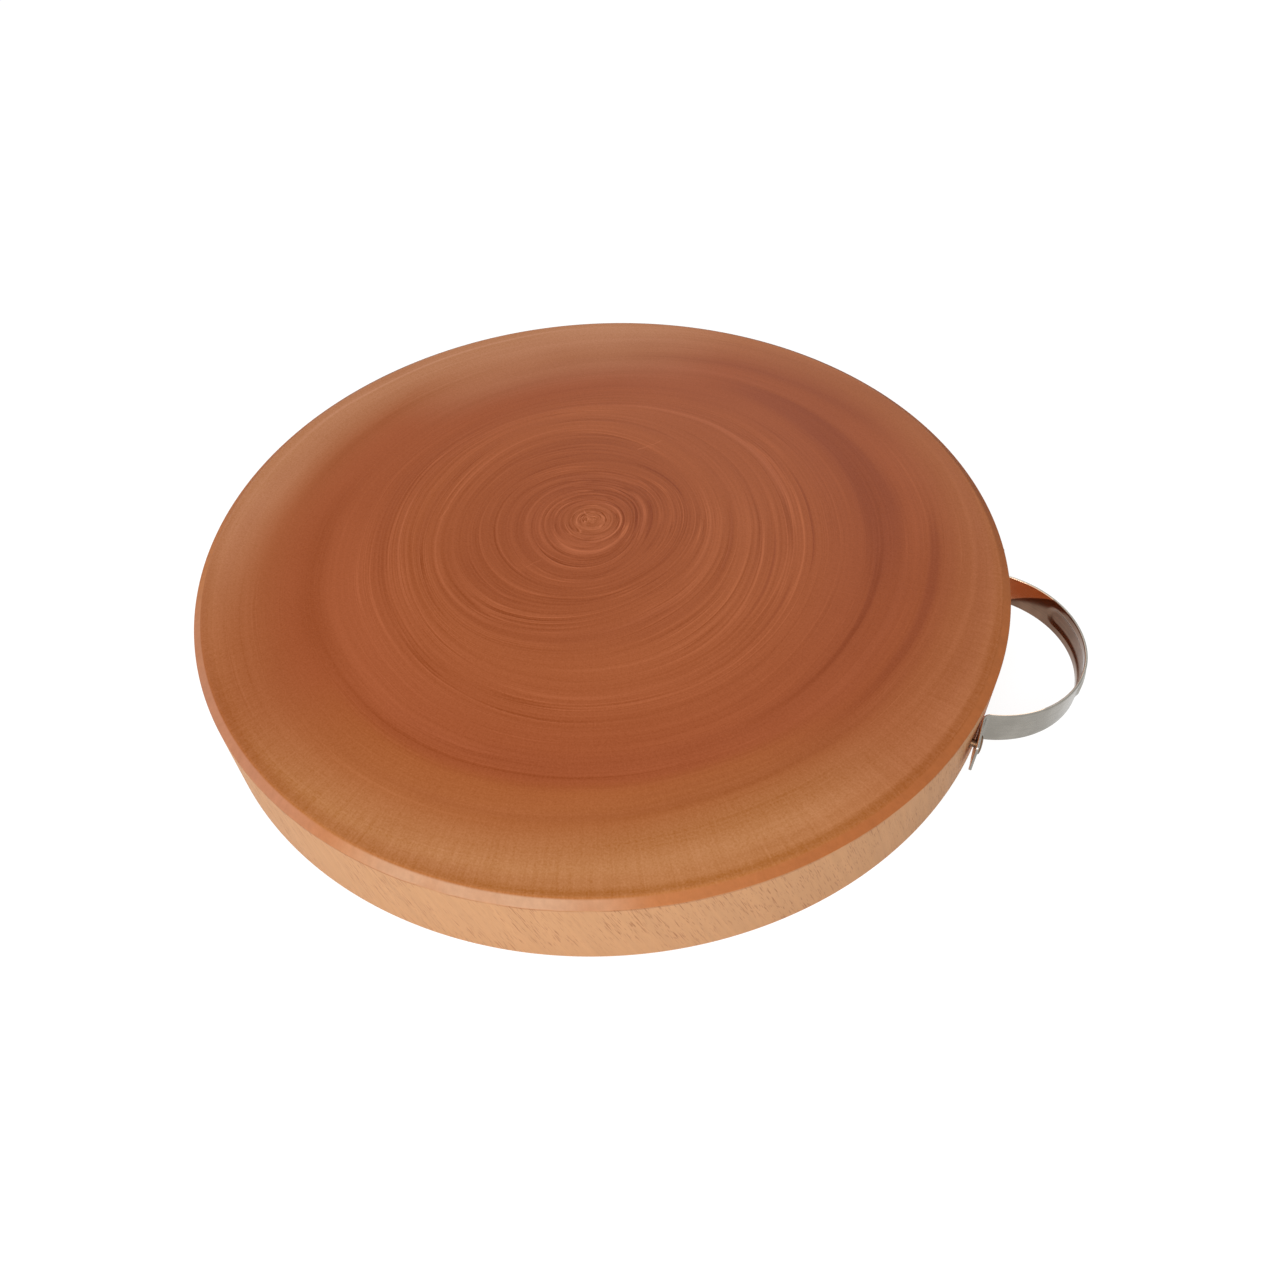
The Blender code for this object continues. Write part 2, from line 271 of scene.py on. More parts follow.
woodChoices = {
    "gloss": {"top": 0.12, "bevel": 0.04},
    "rough": {"top": 0.47, "bevel": 0.56},
    "roughShares": {"streaks": 0.25, "pores": 0.3, "undyed": 0.14},
    "reliefShares": {"streaks": 1.0, "pores": 0.5, "wallFlecks": -0.5},
    "relief": (0.00012, 0.55),          # depth and strength
    "turn": viewChoices["azimuth"],     # of the pattern, round the board's axis
    "pith": (-0.0039, 0.0156),          # in the pattern's own frame
    # how far a ring stands out from its mean radius, mm: cosine and sine of one, two and three times the direction
    "waves": (
        (0, (0, 0, 0), (0, 0, 0)), (14, (-0.4, -1.2, 0.3), (0, 0, 0.2)), (28, (-3.5, -3.0, -1.0), (1.1, 0.2, 0.8)),
        (46, (-3.2, -1.4, 0.6), (1.4, 0.4, 0)), (66, (-7.4, -1.2, -2.1), (2.2, 0.5, -1.8)),
        (92, (1.6, -8.7, -2.7), (1.0, 0.1, 0.9)), (131, (8.3, -12.7, 1.0), (3.4, 0.6, 0.5)),
        (161, (7.0, -13.8, 3.4), (4.5, 1.7, 0.1)), (182, (3.9, -15.6, 0), (0, 0, 0))),
    "waveScale": 40.0,                  # a span, mm, that holds all of these
    "reach": 0.182,
    "ringPasses": 2,                    # times a ring's mean radius is worked out again
    # how far the rings wander besides, at the pith and from the last distance on, and that noise's scales
    "sway": (0.0005, 0.0016, 0.11),
    "swayScale": 17.0,
    "swayHeight": 0.3,
    # noise along the rings: pitch across them, turns round the pith, offset, detail, roughness
    "ringNoises": {"fine": (0.0011, 0.6, 0.0, 2.0, 0.6), "middle": (0.0040, 0.6, 5.0), "broad": (0.016, 0.5, 9.0),
                   "contour": (0.0021, 0.4, 3.0), "patch": (0.006, 1.3, 7.0), "bands": (0.022, 1.6, 13.0),
                   "rays": (0.020, 150.0, 2.0, 2.0, 0.6)},
    "patchEdge": 0.16,
    "streakShares": {"fine": 0.95, "middle": 0.22, "patch": -0.03},
    "contourLines": ((0.0, 0.040, 0.42), (-0.07, 0.045, -0.30)),    # place, width, share: a pale line and a dark one
    "broadShare": 0.06,
    "crispness": ((0, 1.0), (20, 0.95), (36, 0.72), (60, 0.55), (98, 0.50), (112, 0.30), (135, 0.16), (180, 0.13)),
    "uneven": (0.36, 0.62, 0.45, 1.25),     # the streaks are stronger in some places, but not in the heart
    "unevenShift": (0.31, 0.17, 0.0),
    "unevenScale": 15.0,
    "evenHeart": (0.035, 0.022),
    "bandsFrom": (0.095, 0.135),
    "raysFrom": (0.145, 0.170, 0.05, 0.27),
    "rayWay": (-88, 95, 30, 0.75),
    "rayLeast": 0.04,
    "specks": {"pores": (0.61, 1250.0), "grit": (1.13, 540.0)},     # turn and scale
    "softScale": 22.0,
    # a soft dark line round the top, just inside the chamfer: radius, width, strength, and where it is strongest
    "rimShade": (0.1745, 0.0030, -0.15),
    "rimWay": (-60, 70, 30, 0.8),
    "rimLeast": 0.2,
    "lightShares": {"streaks": 0.85, "marks": 0.85, "bands": 0.16, "rim": 1.0, "rays": 1.0, "grit": 0.14, "pores": 0.36,
                    "soft": 0.07, "scratches": 1.0},
    "lineTint": (1.0, 1.6, 3.0),        # a line shows in red, green and blue in these shares
    # stained colours from the pith outwards, by ring coordinate in mm
    "heart": ((0, (171, 94, 53)), (15, (160, 82, 43)), (44, (159, 81, 41)), (80, (168, 89, 47)), (114, (163, 83, 43))),
    # the paler rim, sapwood, with a painted sheen along the back: colours, and each stretch's first and full ring, with
    # its direction, spread and full (degrees)
    "sapwoodAndSheen": ((((132, (164, 87, 46)), (152, (166, 91, 49)), (174, (177, 106, 62))), ((134, 156),)),
                # towards the back and the back left: sapwood made paler and bluer by a painted sheen from the light
                # behind
                (((112, (166, 94, 59)), (146, (177, 109, 70)), (172, (191, 128, 88))),
                 ((108, 140, 98, 44, 6), (148, 166, 136, 68, 22))),
                (((130, (167, 89, 42)), (152, (174, 102, 55)), (168, (192, 129, 81)), (180, (185, 118, 67))),
                 ((131, 137.5, -98, 50, 22),))),
    "deep": (146, 69, 38),
    "deepShares": {"broad": 0.6, "middle": 0.2, "soft": 0.2},
    "deepFrom": (0.03, -0.14, 0.0, 0.15),
    "plum": (144, 68, 44),
    "plumFrom": (-0.04, -0.12),
    "plumWay": (12, 75, 20, 0.35),
    # direction (degrees), ring coordinate (mm), spread (degrees), half width (mm), strength
    "marks": (
        (-10, 13.6, 115, 0.8, 0.42), (-15, 15.3, 95, 0.9, -0.26), (-100, 18.6, 85, 1.4, 0.27),
        (-85, 21.6, 70, 1.9, -0.14), (-95, 15, 70, 8, 0.1), (0, 24.6, 38, 1, -0.2), (-145, 27.2, 60, 1, 0.18),
        (5, 28.6, 45, 1.3, 0.26), (42, 27.2, 32, 0.9, 0.2), (145, 28.2, 60, 0.9, 0.2), (-5, 31.8, 40, 1.1, -0.16),
        (85, 34, 75, 1.8, 0.14), (105, 37.2, 70, 1.4, -0.11), (-165, 40.6, 55, 0.7, 0.2), (-170, 41.8, 55, 0.7, -0.2),
        (-75, 42, 40, 1.5, 0.09), (-60, 46, 45, 2, -0.1), (35, 46.8, 30, 1.1, -0.14), (-20, 52, 50, 0.9, 0.11),
        (0, 57, 40, 1.3, 0.1), (-15, 63.5, 45, 1.9, 0.15), (-165, 65.5, 45, 2, 0.15), (130, 65.5, 45, 1.3, 0.18),
        (-60, 67.5, 38, 1, 0.18), (-20, 72.5, 40, 2, -0.09), (-75, 81, 40, 0.9, 0.12), (-50, 87.5, 55, 0.8, -0.15),
        (-170, 92, 34, 1.5, 0.27), (40, 93, 52, 2, 0.25), (130, 92, 65, 1.3, 0.13), (-85, 92, 40, 1, 0.12),
        (-50, 94.5, 30, 1, -0.14), (-5, 99.5, 30, 1, -0.11), (-130, 123, 38, 3, 0.08), (-110, 130.3, 48, 1.4, -0.15),
        (-40, 122.5, 32, 2, -0.14), (14, 124, 54, 15, -0.14), (-150, 114, 42, 18, 0.1), (100, 84, 60, 30, 0.05),
        (-138, 172, 24, 10, -0.1), (-76, 160, 22, 8, -0.08), (-52, 171, 22, 8, 0.09), (-170, 131, 34, 8, -0.1),
        (-40, 132, 35, 2.5, 0.07), (42, 131.5, 42, 3.5, 0.08), (-28, 143, 34, 6, -0.12), (48, 142, 48, 9, -0.08),
        (-72, 150, 28, 10, -0.05), (135, 149.5, 38, 4, -0.06), (-20, 160.5, 45, 2, 0.08), (95, 160, 50, 3, 0.04),
        (125, 172.3, 45, 1, 0.15)),
    # place (mm), direction (degrees), half length and half width (mm), strength
    "scratches": (
        (27, 66.5, 25, 8.5, 0.35, 0.30), (25, 64.6, 8, 5, 0.3, 0.18), (-31, -10.5, 28, 5, 0.4, 0.16),
        (-72, 27, 62, 6, 0.35, 0.22), (-6.6, 20.4, -62, 2.2, 0.5, 0.35)),
    "scratchBow": (240.0, 0.0022),      # noise scale and size
    "scratchFull": 0.625,               # share of the half length before a scratch fades
    "bare": ((0, (187, 130, 90)), (125, (187, 131, 89)), (150, (201, 149, 105)), (172, (205, 154, 111))),
    "bareShares": {"wallGrain": 0.20, "endStreaks": 0.8},
    "wallFrom": (0.1770, 0.1790),
    "patchScale": 45.0,
    "grainSize": (420.0, 420.0, 14.0),
    "fleck": (150, 92, 58),
    "fleckShare": 0.62,
    "fleckSizes": ((1700.0, 1700.0, 120.0), (2500.0, 2500.0, 210.0)),
    "fleckFrom": (0.60, 0.74),
    "fleckPatches": (0.30, 0.58, 0.15, 1.0),
    "fleckLean": 2.02,                  # turn round the axis per metre of height
    "behindHandle": (3, 20, 13),                 # a saturated orange tone in vertical streaks on the wall behind the handle, which the strap's inside mirrors
    "behindHandleTone": (200, 110, 58),
    "behindHandleSize": (90.0, 90.0, 16.0),
    "behindHandleStreaks": (0.34, 0.60, 0.55, 0.95),
    "seam": (160, 92, 52),              # darker, just under the stain line
    "seamFrom": (0.0364, 0.0371),
    "seamPatches": (0.3, 0.6, 0.15, 1.0),
    "seamShare": 0.45,
    "stainLine": 0.0375,
    "stainBleed": 0.00012,
    "wobble": (160.0, 0.0003),          # of the stain line: noise scale and size
    "bevelFrom": (0.0398, 0.0393),      # height where the top's own colour gives way to the chamfer's
    "bevelShare": 0.8,
    "bevelGrain": 0.3,
    "bevel": (181, 107, 61),
    # direction, spread and full (degrees) of stretches of the edge, and their colours: painted highlights at the front
    # left, painted shade at the right and the back
    "worn": ((-135, 72, 14, (202, 132, 84)), (-150, 30, 8, (196, 136, 106)), (-107, 21, 4, (212, 168, 136)),
             (24, 44, 18, (148, 84, 50)), (88, 58, 30, (116, 62, 38))),
    "edgeLightPatches": (0.25, 0.60, 0.6, 1.0),
}


def woodPlace(tree, c):  # where a point lies in the log
    point = objectPlace(tree)
    turned = nodeOut(tree, "ShaderNodeMapping", {"Vector": point, "Rotation": (0, 0, -c["turn"]),
                                                 "Location": (-c["pith"][0], -c["pith"][1], 0)})
    x, y, z = separate(tree, turned)
    flat = combine(tree, x, y)
    place = combine(tree, x, y, times(tree, z, c["swayHeight"]))
    wander = {"Vector": place, "Scale": c["swayScale"], "Detail": 2.0}
    sway = addNode(tree, "ShaderNodeTexNoise", wander).outputs["Color"]
    sway = vectorCalc(tree, "SUBTRACT", sway, (0.5, 0.5, 0.5))
    least, most, full = c["sway"]
    size = rise(tree, vectorCalc(tree, "LENGTH", flat), 0.0, full, 2 * least, 2 * most)
    sx, sy, unused = separate(tree, vectorCalc(tree, "ADD", flat, scaled(tree, sway, size)))
    swayed = combine(tree, sx, sy)
    away = vectorCalc(tree, "LENGTH", swayed)
    way = vectorCalc(tree, "NORMALIZE", swayed)
    wx, wy, unused = separate(tree, way)
    around = calc(tree, "ARCTAN2", wy, wx)
    waves = [calc(tree, kind, times(tree, around, k)) for k in (1, 2, 3) for kind in ("COSINE", "SINE")]
    parts = [combine(tree, *waves[k:k + 3]) for k in (0, 3)]

    def standOut(radius):  # how far the ring with this mean radius stands out here
        total = 0.0
        for k, part in enumerate(parts):
            stops = [(row[0] / 1000 / c["reach"], tuple(0.5 + value / c["waveScale"] for value in row[k + 1]) + (1,))
                     for row in c["waves"]]
            size = ramp(tree, calc(tree, "DIVIDE", radius, c["reach"]), stops, "CARDINAL")
            size = vectorCalc(tree, "SUBTRACT", size, (0.5, 0.5, 0.5))
            total = plus(tree, vectorCalc(tree, "DOT_PRODUCT", size, part), total)
        return times(tree, total, c["waveScale"] / 1000)

    ring = minus(tree, away, standOut(away))
    for again in range(c["ringPasses"]):
        ring = minus(tree, away, standOut(ring))
    px, py, pz = separate(tree, point)
    outwards = combine(tree, px, py)
    return {"point": point, "height": pz, "fromAxis": vectorCalc(tree, "LENGTH", outwards),
            "axisWay": vectorCalc(tree, "NORMALIZE", outwards),
            "patternWay": vectorCalc(tree, "NORMALIZE", vectorCalc(tree, "ADD", flat, (*c["pith"], 0.0))),
            "flat": flat, "way": way, "ring": ring, "zone": calc(tree, "DIVIDE", ring, ringSpan)}


def towards(tree, way, direction, spread, full=0, strength=1.0):  # fades from a direction (degrees) to both its sides
    facing = vectorCalc(tree, "DOT_PRODUCT", way, wayTo(math.radians(direction)))
    return rise(tree, facing, math.cos(math.radians(spread)), math.cos(math.radians(full)), 0.0, strength)


def ringNoise(tree, at, pitch, turns, offset, detail=1.0, roughness=0.5):  # streaks along the rings, -0.5 to 0.5
    x, y, unused = separate(tree, scaled(tree, at["way"], turns))
    place = combine(tree, times(tree, at["ring"], 1 / pitch), x, plus(tree, y, offset))
    return evenNoise(tree, place, 1.0, detail, roughness)


def markSum(tree, at, marks):  # broad or thin arcs that stand out along a ring
    total = 0.0
    for direction, place, spread, width, strength in marks:
        across = softLine(tree, at["ring"], place / 1000, width / 1000, strength)
        total = calc(tree, "MULTIPLY_ADD", towards(tree, at["way"], direction, spread), across, total)
    return total


def scratchSum(tree, c, at):  # short scratches, nearly straight
    scale, size = c["scratchBow"]
    bow = times(tree, evenNoise(tree, at["flat"], scale), size)
    total = 0.0
    for px, py, direction, half, width, strength in c["scratches"]:
        off = vectorCalc(tree, "SUBTRACT", at["flat"], (px / 1000 - c["pith"][0], py / 1000 - c["pith"][1], 0.0))
        along, across = (vectorCalc(tree, "DOT_PRODUCT", off, wayTo(math.radians(direction + quarter)))
                         for quarter in (0, 90))
        thin = softLine(tree, plus(tree, across, bow), 0.0, width / 1000, strength)
        ends = softLine(tree, along, 0.0, half / 1000, 1.0, c["scratchFull"] * half / 1000)
        total = calc(tree, "MULTIPLY_ADD", thin, ends, total)
    return total


def shared(tree, at, shares):  # the sum of named values, each times its share
    total = 0.0
    for name, share in shares.items():
        total = calc(tree, "MULTIPLY_ADD", at[name], share, total)
    return total


def colourRamp(tree, at, stops):
    return ramp(tree, at["zone"], [(mm / 1000 / ringSpan, tone(*rgb)) for mm, rgb in stops])


def principled(name):
    material = bpy.data.materials.new(name)
    material.use_nodes = True
    return material, material.node_tree, material.node_tree.nodes["Principled BSDF"]


def dress(tree, shader, height, relief, inputs):  # the shader's values, and a bump of this height
    for key, value in inputs.items():
        feed(tree, shader.inputs[key], value)
    bump = nodeOut(tree, "ShaderNodeBump", {"Height": height, "Distance": relief[0], "Strength": relief[1]})
    feed(tree, shader.inputs["Normal"], bump)


def addStreaks(tree, c, at):  # bands that fade outwards, with pale lines and a dark one beside each
    for name, sizes in c["ringNoises"].items():
        at[name] = ringNoise(tree, at, *sizes)
    at["patch"] = rise(tree, at["patch"], -c["patchEdge"], c["patchEdge"])
    streaks = shared(tree, at, c["streakShares"])
    for line in c["contourLines"]:
        streaks = calc(tree, "MULTIPLY_ADD", softLine(tree, at["contour"], *line), at["patch"], streaks)
    fade = ramp(tree, at["zone"], [(mm / 1000 / ringSpan, (v, v, v, 1)) for mm, v in c["crispness"]])
    moved = vectorCalc(tree, "ADD", at["flat"], c["unevenShift"])
    uneven = rise(tree, noise(tree, moved, c["unevenScale"]), *c["uneven"])
    uneven = calc(tree, "MAXIMUM", uneven, rise(tree, at["ring"], *c["evenHeart"]))
    streaks = times(tree, streaks, fade, uneven)
    at["streaks"] = calc(tree, "MULTIPLY_ADD", at["broad"], c["broadShare"], streaks)


def addShades(tree, c, at):  # what else makes the stained wood lighter or darker
    at["bands"] = times(tree, at["bands"], rise(tree, at["ring"], *c["bandsFrom"]))
    rayShare = times(tree, rise(tree, at["fromAxis"], *c["raysFrom"]), towards(tree, at["way"], *c["rayWay"]))
    at["rays"] = times(tree, at["rays"], plus(tree, rayShare, c["rayLeast"]))
    for name, (turn, scale) in c["specks"].items():
        at[name] = evenNoise(tree, turnedPlace(tree, at["flat"], turn), scale, 2.0, 0.6)
    at["soft"] = evenNoise(tree, at["flat"], c["softScale"], 2.0)
    at["rim"] = times(tree, softLine(tree, at["fromAxis"], *c["rimShade"]),
                      plus(tree, towards(tree, at["patternWay"], *c["rimWay"]), c["rimLeast"]))
    at["marks"] = markSum(tree, at, c["marks"])
    at["scratches"] = scratchSum(tree, c, at)


def stainedColour(tree, c, at):
    colour = colourRamp(tree, at, c["heart"])
    for stops, stretches in c["sapwoodAndSheen"]:
        amount = 0.0
        for first, full, *where in stretches:
            part = rise(tree, at["ring"], first / 1000, full / 1000)
            if where:
                part = times(tree, towards(tree, at["way"], *where), part)
            amount = calc(tree, "MAXIMUM", amount, part)
        colour = blend(tree, amount, colour, colourRamp(tree, at, stops))
    dark = rise(tree, shared(tree, at, c["deepShares"]), *c["deepFrom"])
    colour = blend(tree, dark, colour, tone(*c["deep"]))
    plum = times(tree, rise(tree, at["marks"], *c["plumFrom"]), towards(tree, at["way"], *c["plumWay"]))
    colour = blend(tree, plum, colour, tone(*c["plum"]))
    tint = scaled(tree, c["lineTint"], shared(tree, at, c["lightShares"]))
    colour = vectorCalc(tree, "MULTIPLY", colour, vectorCalc(tree, "ADD", tint, (1.0, 1.0, 1.0)))
    return vectorCalc(tree, "MAXIMUM", colour, (0.0, 0.0, 0.0))


def bareColour(tree, c, at):  # the wall and the underside: faint long grain and short leaning ray flecks
    leaning = turnedPlace(tree, at["point"], times(tree, at["height"], c["fleckLean"]))
    at["patchy"] = noise(tree, at["point"], c["patchScale"])
    flecks = 0.0
    for size in c["fleckSizes"]:
        flecks = calc(tree, "MAXIMUM", flecks, rise(tree, noise(tree, leaning, size), *c["fleckFrom"]))
    flecks = times(tree, flecks, rise(tree, at["patchy"], *c["fleckPatches"]))
    onWall = rise(tree, at["fromAxis"], *c["wallFrom"])
    at["wallFlecks"] = times(tree, flecks, onWall)
    at["grain"] = evenNoise(tree, leaning, c["grainSize"], 2.0)
    at["wallGrain"] = times(tree, at["grain"], onWall)
    at["endStreaks"] = times(tree, minus(tree, 1.0, onWall), at["streaks"])
    light = plus(tree, shared(tree, at, c["bareShares"]), 1.0)
    colour = scaled(tree, colourRamp(tree, at, c["bare"]), light)
    colour = blend(tree, times(tree, at["wallFlecks"], c["fleckShare"]), colour, tone(*c["fleck"]))
    # the saturated orange tone in vertical streaks on the wall behind the handle
    streaky = rise(tree, noise(tree, at["point"], c["behindHandleSize"], 2.0), *c["behindHandleStreaks"])
    behindHandle = times(tree, towards(tree, at["axisWay"], *c["behindHandle"]), onWall)
    return blend(tree, times(tree, behindHandle, streaky), colour, tone(*c["behindHandleTone"]))


def edgeColour(tree, c, at):  # the chamfer, with painted highlights at its front left and painted shade at its right and back
    colour = tone(*c["bevel"])
    patches = rise(tree, at["patchy"], *c["edgeLightPatches"])
    # painted light: paler stretches stand in for the window lamp's highlight, darker ones for shade
    for *where, worn in c["worn"]:
        paintedEdgeLight = times(tree, towards(tree, at["patternWay"], *where), patches)
        colour = blend(tree, paintedEdgeLight, colour, tone(*worn))
    return scaled(tree, colour, calc(tree, "MULTIPLY_ADD", at["grain"], c["bevelGrain"], 1.0))


def woodFinish(c, name, part):
    material, tree, shader = principled(name)
    at = woodPlace(tree, c)
    addStreaks(tree, c, at)
    addShades(tree, c, at)
    stained, bare = stainedColour(tree, c, at), bareColour(tree, c, at)

    scale, size = c["wobble"]
    wobble = times(tree, evenNoise(tree, at["point"], scale, 2.0), size)
    height = plus(tree, at["height"], wobble)
    seam = times(tree, rise(tree, height, *c["seamFrom"]), rise(tree, at["patchy"], *c["seamPatches"]))
    bare = blend(tree, times(tree, seam, c["seamShare"]), bare, tone(*c["seam"]))
    dyed = rise(tree, height, c["stainLine"] - c["stainBleed"], c["stainLine"] + c["stainBleed"])
    bevel = times(tree, dyed, rise(tree, at["height"], *c["bevelFrom"]))
    colour = blend(tree, times(tree, bevel, c["bevelShare"]), blend(tree, dyed, bare, stained),
                   edgeColour(tree, c, at))
    at["undyed"] = minus(tree, 1.0, dyed)
    rough = plus(tree, shared(tree, at, c["roughShares"]), c["rough"][part])
    dress(tree, shader, shared(tree, at, c["reliefShares"]), c["relief"],
          {"Base Color": colour, "Roughness": rough, "Specular IOR Level": c["gloss"][part]})
    return material


steelChoices = {
    "outside": ((0.335, 0.315, 0.278), (0.262, 0.245, 0.215)),      # bright and dull
    "inside": ((0.212, 0.124, 0.083), (0.155, 0.092, 0.062)),       # brown tints on the finger side: a painted reflection of the wood and the shaded floor
    "outsideRough": (0.30, 0.22),
    "insideRough": (0.15, 0.09),
    "wornFrom": (0.36, 0.64),
    "roughFrom": (0.3, 0.7),
    "relief": (0.00001, 0.3),
    "brush": (60.0, 60.0, 5200.0),      # streaks run along the strap, so they are fine across it
    "cloudScale": 110.0,
    # the inside's tint above that line: a painted reflection of the board's wall
    "wallReflectionTint": (0.92, 0.62, 0.42),
    # the painted reflection of the board's wall near the roots: height where its line starts, how the line climbs away
    # from the wall, its softness
    "wallReflectionLine": (0.0150, 0.1815, 0.77, 0.0005),
    # the bead's hollow: direction, half length and full (degrees) round the bow's centre
    "hollowWay": (16.0, 35.0, 32.0),
    "bowCentre": (0.1725, 0.0, 0.0),
    "hollowLine": (0.0200, 0.0049, 1.0, 0.0041),    # height, half width, share, full half width
    "hollowRough": 0.20,
}


def steelFinish(c, name, side):
    material, tree, shader = principled(name)
    point = objectPlace(tree)
    brush = noise(tree, point, c["brush"], 3.0, 0.6)
    cloud = noise(tree, point, c["cloudScale"], 2.0)
    worn = times(tree, plus(tree, brush, cloud), 0.5)
    bright, dull = c[side]
    colour = blend(tree, rise(tree, worn, *c["wornFrom"]), dull + (1,), bright + (1,))
    rough = rise(tree, worn, *c["roughFrom"], *c[side + "Rough"])
    # the inside: the brown tints and the orange patch by the wall are painted reflections of the board and the floor
    if side == "inside":
        x, y, z = separate(tree, point)
        start, wall, climb, soft = c["wallReflectionLine"]
        above = minus(tree, z, calc(tree, "MULTIPLY_ADD", minus(tree, x, wall), climb, start))
        colour = blend(tree, rise(tree, above, -soft, soft), colour, c["wallReflectionTint"] + (1,))
        fromBow = vectorCalc(tree, "SUBTRACT", combine(tree, x, y), c["bowCentre"])
        along = towards(tree, vectorCalc(tree, "NORMALIZE", fromBow), *c["hollowWay"])
        across = softLine(tree, z, *c["hollowLine"])
        rough = calc(tree, "MULTIPLY_ADD", times(tree, along, across), c["hollowRough"], rough)
    dress(tree, shader, brush, c["relief"], {"Base Color": colour, "Metallic": 1.0, "Roughness": rough})
    return material


plateChoices = {
    "gold": (0.19, 0.10, 0.05),
    "worn": (0.16, 0.12, 0.08),
    "wornFrom": (0.42, 0.66),
    "roughFrom": (0.3, 0.7, 0.38, 0.52),
    "relief": (0.00003, 0.4),
    "cloudScale": 900.0,
}


def plateFinish(c):  # yellow passivated plating, a little worn
    material, tree, shader = principled("yellowPlate")
    cloud = noise(tree, objectPlace(tree), c["cloudScale"], 3.0, 0.6)
    colour = blend(tree, rise(tree, cloud, *c["wornFrom"]), c["gold"] + (1,), c["worn"] + (1,))
    rough = rise(tree, cloud, *c["roughFrom"])
    dress(tree, shader, cloud, c["relief"], {"Base Color": colour, "Metallic": 1.0, "Roughness": rough})
    return material


wood = woodFinish(woodChoices, "oiledEndGrain", "top")
# the chamfer's material shows the painted highlights and painted shade of edgeColour
bevelWood = woodFinish(woodChoices, "bevelPaintedLight", "bevel")
steel = steelFinish(steelChoices, "brushedStrap", "outside")
# the strap's inside, tinted with a painted reflection
paintedReflectionSteel = steelFinish(steelChoices, "strapInsidePaintedReflection", "inside")
plate = plateFinish(plateChoices)
print("materials ready")


# where things are: the strap's line and its two screws

boardLow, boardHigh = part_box("board")
strapLow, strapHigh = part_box("handle_strap")
middleHeight = (strapHigh[2] + strapLow[2]) / 2

strapChoices = {
    "thickness": 0.0012,
    "reach": 0.034,                 # from the board's wall to the outside of the bow
    "bowRadius": 0.0415,            # outside
    "bendRadius": 0.0025,           # inside
    "seatGap": 0.0003,
    "footLength": 0.0155,
    "footCorner": 0.0018,
    "toeLift": math.radians(9.6),
    "bowSteps": 90,                 # from the middle of the grip to a bend
    "bendSteps": 16,
    "footSteps": 14,
    "toeSteps": 10,
    "edgeRadius": 0.00035,
    "edgeSteps": 4,
    "rowsAcross": 30,
    "beadLength": 0.050,
    "beadWidth": 0.0098,
    "beadRim": 0.0022,
    "beadDepth": 0.0008,
    "beadTurn": math.radians(16),   # off the grip's middle, towards +Y
    "screwInset": 0.0070,
    "holeRadius": 0.0023,
    "holeSides": 48,
    "holeCut": (0.004, -0.0035),    # the cutter's ends, from under the screw's head
    "insideFrom": -0.010,           # how far a face looks towards the board to count as the finger side
}


def planPoint(centre, radius, angle):
    return centre + radius * Vector((math.cos(angle), math.sin(angle)))


def handleLine(c):  # the +Y half in plan: stations from the grip's middle to the toe, and the screw's place
    half = c["thickness"] / 2
    bowRadius, bendRadius = c["bowRadius"] - half, c["bendRadius"] + half
    bowCentre = Vector((boardHigh[0] + c["reach"] - c["bowRadius"], 0))
    fromAxis = boardHigh[0] + c["seatGap"] + half + bendRadius
    x = (fromAxis**2 - (bowRadius + bendRadius)**2 + bowCentre.x**2) / (2 * bowCentre.x)
    bendCentre = Vector((x, math.sqrt(fromAxis**2 - x**2)))
    bowEnd = math.atan2(*(bendCentre - bowCentre).yx)
    footTurn = math.atan2(*bendCentre.yx) - c["toeLift"]
    fullWidth = (strapHigh[2] - strapLow[2]) / 2
    stations = []           # place, turn of the outward direction, half width, distance along the bow, thickness share
    for k in range(c["bowSteps"]):
        angle = bowEnd * k / c["bowSteps"]
        stations.append((planPoint(bowCentre, bowRadius, angle), angle, fullWidth, angle * bowRadius, 1.0))
    for k in range(c["bendSteps"]):
        angle = bowEnd + (footTurn - bowEnd) * k / c["bendSteps"]
        stations.append((planPoint(bendCentre, -bendRadius, angle), angle, fullWidth, 1.0, 1.0))
    start = planPoint(bendCentre, -bendRadius, footTurn)
    direction = Vector((-math.sin(footTurn), math.cos(footTurn)))
    corner, flat = c["footCorner"], c["footLength"] - c["footCorner"]
    for k in range(c["footSteps"]):
        stations.append((start + flat * k / c["footSteps"] * direction, footTurn, fullWidth, 1.0, 1.0))
    for k in range(c["toeSteps"] + 1):
        inside = math.sin(math.pi / 2 * k / c["toeSteps"])
        width = fullWidth - corner + corner * math.sqrt(max(1 - inside**2, 0))
        near = max(1 - corner * (1 - inside) / c["edgeRadius"], 0)     # 1 at the end of the toe
        thin = 1 - (1 - math.sqrt(1 - near**2)) * c["edgeRadius"] / half
        stations.append((start + (flat + corner * inside) * direction, footTurn, width, 1.0, thin))
    out = Vector((math.cos(footTurn), math.sin(footTurn)))
    return stations, start + c["screwInset"] * direction + (half + c["seatGap"]) * out, footTurn


def lineObject(name, points, closed=False, **values):  # a polyline, with named values on its points
    mesh = bpy.data.meshes.new(name)
    edges = [(k, k + 1) for k in range(len(points) - 1)]
    if closed:
        edges.append((len(points) - 1, 0))
    mesh.from_pydata([tuple(p) for p in points], edges, [])
    for key, items in values.items():
        if isinstance(items[0], float):
            mesh.attributes.new(key, "FLOAT", "POINT").data.foreach_set("value", items)
        else:
            flat = [part for item in items for part in item]
            mesh.attributes.new(key, "FLOAT_VECTOR", "POINT").data.foreach_set("vector", flat)
    return newObject(name, mesh)


